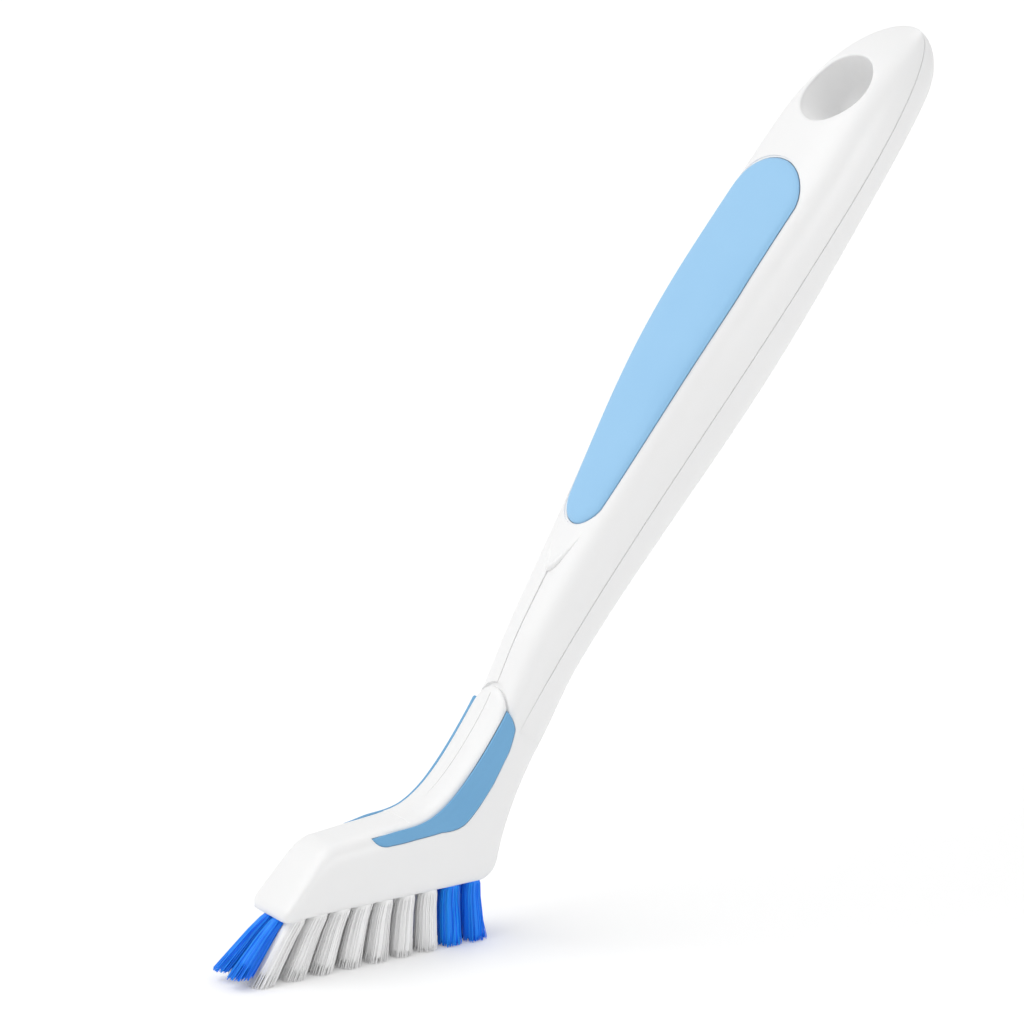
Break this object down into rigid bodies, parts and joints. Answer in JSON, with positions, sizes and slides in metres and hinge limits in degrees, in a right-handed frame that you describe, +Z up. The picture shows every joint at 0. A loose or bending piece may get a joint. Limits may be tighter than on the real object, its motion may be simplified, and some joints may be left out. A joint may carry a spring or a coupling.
{
  "type": "grout brush",
  "caption": "Narrow grout brush with a wedge-shaped bristle head, an angled hollow handle, soft-grip inlays and a hanging hole",
  "frame": {"origin": "under the middle of the brush's bounding box, on the plane that the bristle tips stand on", "axes": "+Z up; the toe of the head points along -X and the handle rises along +X; the brush is mirrored about the plane Y = 0"},
  "size_m": [0.1606, 0.027, 0.1656],
  "materials": {
    "white_plastic": "smooth moulded polypropylene with a satin gloss",
    "soft_grip": "matt soft-grip elastomer",
    "white_bristle": "nylon bristle",
    "blue_bristle": "nylon bristle",
    "anchor_wire": "flat steel wire"
  },
  "bodies": {
    "root": {"brush_body": "white_plastic", "back_cover": "white_plastic", "grip_pad": "soft_grip", "neck_wing_near": "soft_grip", "neck_wing_far": "soft_grip", "tuft_anchors_near": "anchor_wire", "tuft_anchors_far": "anchor_wire", "tuft_toe_near": "blue_bristle", "tuft_toe_far": "blue_bristle", "tuft_near_1": "white_bristle", "tuft_near_2": "white_bristle", "tuft_near_3": "white_bristle", "tuft_near_4": "white_bristle", "tuft_near_5": "white_bristle", "tuft_near_6": "white_bristle", "tuft_near_7": "white_bristle", "tuft_near_8": "blue_bristle", "tuft_near_9": "blue_bristle", "tuft_far_1": "white_bristle", "tuft_far_2": "white_bristle", "tuft_far_3": "white_bristle", "tuft_far_4": "white_bristle", "tuft_far_5": "white_bristle", "tuft_far_6": "white_bristle", "tuft_far_7": "white_bristle", "tuft_far_8": "blue_bristle", "tuft_far_9": "blue_bristle"}
  },
  "joints": []
}
